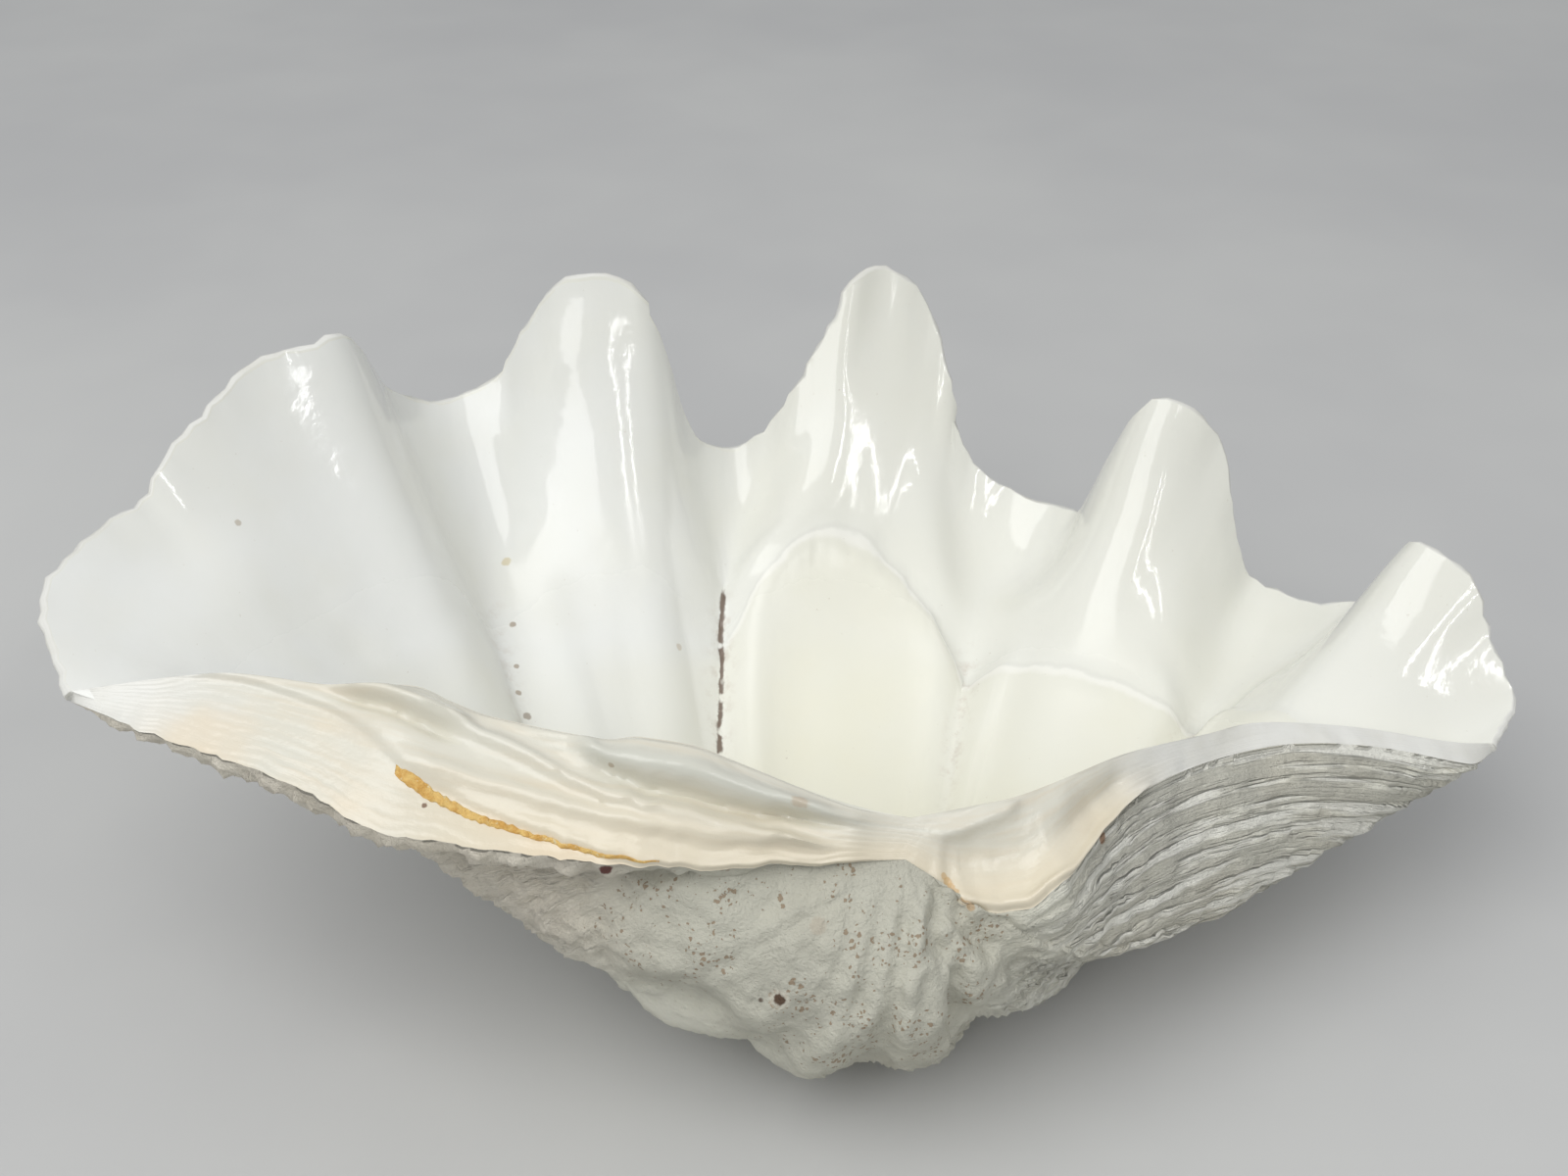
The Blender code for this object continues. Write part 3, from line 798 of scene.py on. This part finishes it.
# The hinge plate is polished, cream to peach, and fine lines run along it to the beak. The rim is white.
plate, tree, shader = finish("hinge plate", 0.22)
growth, tints = read(tree, "growth"), read(tree, "tints")
warmth, flat_area, near_tooth = tints
streak = math_node(tree, "MULTIPLY_ADD", growth[1], 13.0, times(tree, growth[0], 3.0))
drawn_out = node(tree, "CombineXYZ", None, {0: streak, 1: times(tree, growth[0], 6.0)}).outputs[0]
streaks = grain(tree, 1.0, 3, 0.5, drawn_out)
cloud = between(tree, grain(tree, 60, 3), 0.4, 0.7)
white = tinted(tree, cloud, (0.73, 0.725, 0.68, 1), (0.69, 0.68, 0.62, 1))
warm = tinted(tree, between(tree, streaks, 0.36, 0.85), (0.67, 0.65, 0.555, 1), (0.66, 0.60, 0.475, 1))
low = times(tree, between(tree, growth[1], 0.75, 0.15), between(tree, growth[0], 0.25, 0.45), 0.75)
warm = tinted(tree, low, warm, (0.71, 0.62, 0.45, 1))
colour = tinted(tree, times(tree, warmth, 0.9), white, warm)
peach = times(tree, flat_area, between(tree, grain(tree, 24, 3), 0.35, 0.62), 0.8)
colour = tinted(tree, peach, colour, (0.74, 0.63, 0.46, 1))
colour = tinted(tree, times(tree, near_tooth, 0.9), colour, (0.58, 0.58, 0.51, 1))
PLATE_SPOTS = (
    ((-78.8, -96.0, 91.1), 0.6, (0.16, 0.08, 0.04), 0.85),  # dark dot beside the ligament
    ((-42.2, -88.6, 96.0), 0.8, (0.30, 0.22, 0.14), 0.6),  # dot on the upper ridge
    ((-4.4, -92.6, 90.5), 2.2, (0.46, 0.34, 0.22), 0.5),  # brown patch at the near tooth
    ((-42.8, -102.8, 81.0), 1.4, (0.10, 0.015, 0.01), 0.9),  # red dot under the plate
    ((55.7, -75.5, 73.8), 5.0, (0.60, 0.50, 0.37), 0.14),  # faint stain on the right plate
    ((24.6, -92.4, 70.9), 0.8, (0.58, 0.36, 0.13), 0.55),  # amber line beside the beak
    ((25.4, -92.9, 69.9), 0.9, (0.58, 0.36, 0.13), 0.65),
    ((26.1, -93.4, 68.9), 0.9, (0.58, 0.36, 0.13), 0.7),
    ((27.3, -94.4, 68.1), 0.9, (0.58, 0.36, 0.13), 0.65),
)
colour = spotted(tree, colour, PLATE_SPOTS)
tree.links.new(colour, shader.inputs["Base Color"])
height = math_node(tree, "MULTIPLY_ADD", streaks, 0.16, times(tree, grain(tree, 220, 4), 0.25))
bumped(tree, shader, height, 0.0008)
for material in (chalk, porcelain, plate):
    shell.data.materials.append(material)

# The ligament: a strip of brown horny stuff that sprang the valves open, dried to amber, frayed at its
# left end and thin toward the beak. For each share of the way to the beak it has a place across the left
# plate and half a width.
STRIP = (
    (0.325, 0.42),
    (0.395, 0.275),
    (0.461, 0.205),
    (0.517, 0.155),
    (0.594, 0.10),
    (0.648, 0.065),
    (0.76, 0.03),
)
STRIP_WIDTH = ((0.325, 0.035), (0.35, 0.046), (0.45, 0.030), (0.55, 0.020), (0.65, 0.014), (0.76, 0.006))
STRIP_RISE = 0.5  # how far it stands out of the plate
RINGS = 150  # rings along the strip
RING = 16  # points round each
plate_rows = band[-(ROWS - 1) :]
plate_share = along[-(ROWS - 1) :, 0]


def on_plate(s, w):
    """Points on the left hinge plate, by share of the way to the beak and by place across it."""
    row = np.interp(s, plate_share, np.arange(ROWS - 1))
    column = np.interp(w, across[0], np.arange(BAND))
    r, c = np.minimum(row.astype(int), ROWS - 3), np.minimum(column.astype(int), BAND - 2)
    fr, fc = (row - r)[..., None], (column - c)[..., None]
    top = plate_rows[r, c] * (1 - fc) + plate_rows[r, c + 1] * fc
    return top * (1 - fr) + (plate_rows[r + 1, c] * (1 - fc) + plate_rows[r + 1, c + 1] * fc) * fr


left_end, right_end = STRIP[0][0], STRIP[-1][0]
round_once = np.linspace(0, 2 * math.pi, RING, endpoint=False)
stretch, angle = np.meshgrid(np.linspace(left_end, right_end, RINGS), round_once, indexing="ij")
two_edges = np.stack([stretch * 300, 9 * np.sign(np.cos(angle)), 0 * angle], -1)
frayed = 1 + 0.15 * rough(two_edges, 3, 14)
half = eased(STRIP_WIDTH, stretch) * frayed
base = on_plate(stretch, np.clip(eased(STRIP, stretch) + half * np.cos(angle), 0.003, 1))
swell = np.where(np.sin(angle) > 0, STRIP_RISE * (1 + 0.4 * rough(base, 2.5, 15)), 0.5) * np.sin(angle)
swell *= ease(left_end, 0.34, stretch) * ease(right_end, 0.70, stretch)
tube = laid(base + up * swell[..., None])
mesh = bpy.data.meshes.new("dried ligament")
corner = np.arange(tube.shape[0] * RING).reshape(-1, RING)
nearer = np.roll(corner, -1, axis=1)
faces = np.stack([corner[:-1], nearer[:-1], nearer[1:], corner[1:]], -1).reshape(-1, 4).tolist()
mesh.from_pydata(tube.reshape(-1, 3), [], [*faces, corner[0, ::-1].tolist(), corner[-1].tolist()])
bm = bmesh.new()
bm.from_mesh(mesh)
bmesh.ops.recalc_face_normals(bm, faces=bm.faces)
bm.to_mesh(mesh)
bm.free()
mesh.shade_smooth()
ligament = bpy.data.objects.new("dried_ligament", mesh)
bpy.context.scene.collection.objects.link(ligament)
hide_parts("ligament")
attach(ligament, "root")
amber, tree, shader = finish("dried ligament", 0.45)
patches = between(tree, grain(tree, 260, 4, 0.7), 0.40, 0.62)
colour = tinted(tree, patches, (0.82, 0.55, 0.18, 1), (0.66, 0.36, 0.08, 1))
colour = tinted(tree, between(tree, grain(tree, 900, 3), 0.60, 0.72), colour, (0.80, 0.66, 0.38, 1))
tree.links.new(colour, shader.inputs["Base Color"])
bumped(tree, shader, grain(tree, 1100, 4, 0.7), 0.0008)
mesh.materials.append(amber)

# The ground: a plain pale table, faintly scuffed, and so wide that it fills the camera's picture.
ground = bpy.data.meshes.new("ground")
ground.from_pydata([(-4, -4, 0), (4, -4, 0), (4, 4, 0), (-4, 4, 0)], [], [(0, 1, 2, 3)])
floor = bpy.data.objects.new("floor", ground)
bpy.context.scene.collection.objects.link(floor)
table, tree, shader = finish("pale table", 0.55)
scuffs = between(tree, grain(tree, 3, 4), 0.3, 0.7)
colour = tinted(tree, scuffs, (0.48, 0.48, 0.475, 1), (0.54, 0.54, 0.525, 1))
tree.links.new(colour, shader.inputs["Base Color"])
ground.materials.append(table)

# The light: two ceiling tubes side by side behind the viewer, a wide soft lamp from the upper left, and
# the pale room, which is brighter overhead.
bpy.context.scene.view_settings.view_transform = "Standard"
LAMPS = (
    ("tube left", (0.55, -1.15, 1.05), (0.022, 1.5), 2.8),
    ("tube right", (0.80, -1.15, 1.05), (0.022, 1.5), 2.8),
    ("soft light", (-0.6, -0.75, 1.35), (1.4, 1.4), 16),
)
for name, place, size, power in LAMPS:
    lamp = bpy.data.objects.new(name, bpy.data.lights.new(name, "AREA"))
    lamp.data.shape = "RECTANGLE"
    lamp.data.size, lamp.data.size_y = size
    lamp.data.energy = power
    lamp.location = place
    if name == "soft light":
        lamp.rotation_euler = (-lamp.location).to_track_quat("-Z", "Y").to_euler()
    bpy.context.scene.collection.objects.link(lamp)
world = bpy.data.worlds.new("room")
bpy.context.scene.world = world
world.use_nodes = True
room = world.node_tree
background = room.nodes["Background"]
background.inputs["Color"].default_value = (0.95, 0.97, 1.0, 1)
overhead = node(room, "SeparateXYZ", None, {0: node(room, "TexCoord").outputs["Generated"]}).outputs[2]
strength = math_node(room, "MULTIPLY_ADD", between(room, overhead, 0.0, 0.8), 0.46, 0.20)
room.links.new(strength, background.inputs["Strength"])
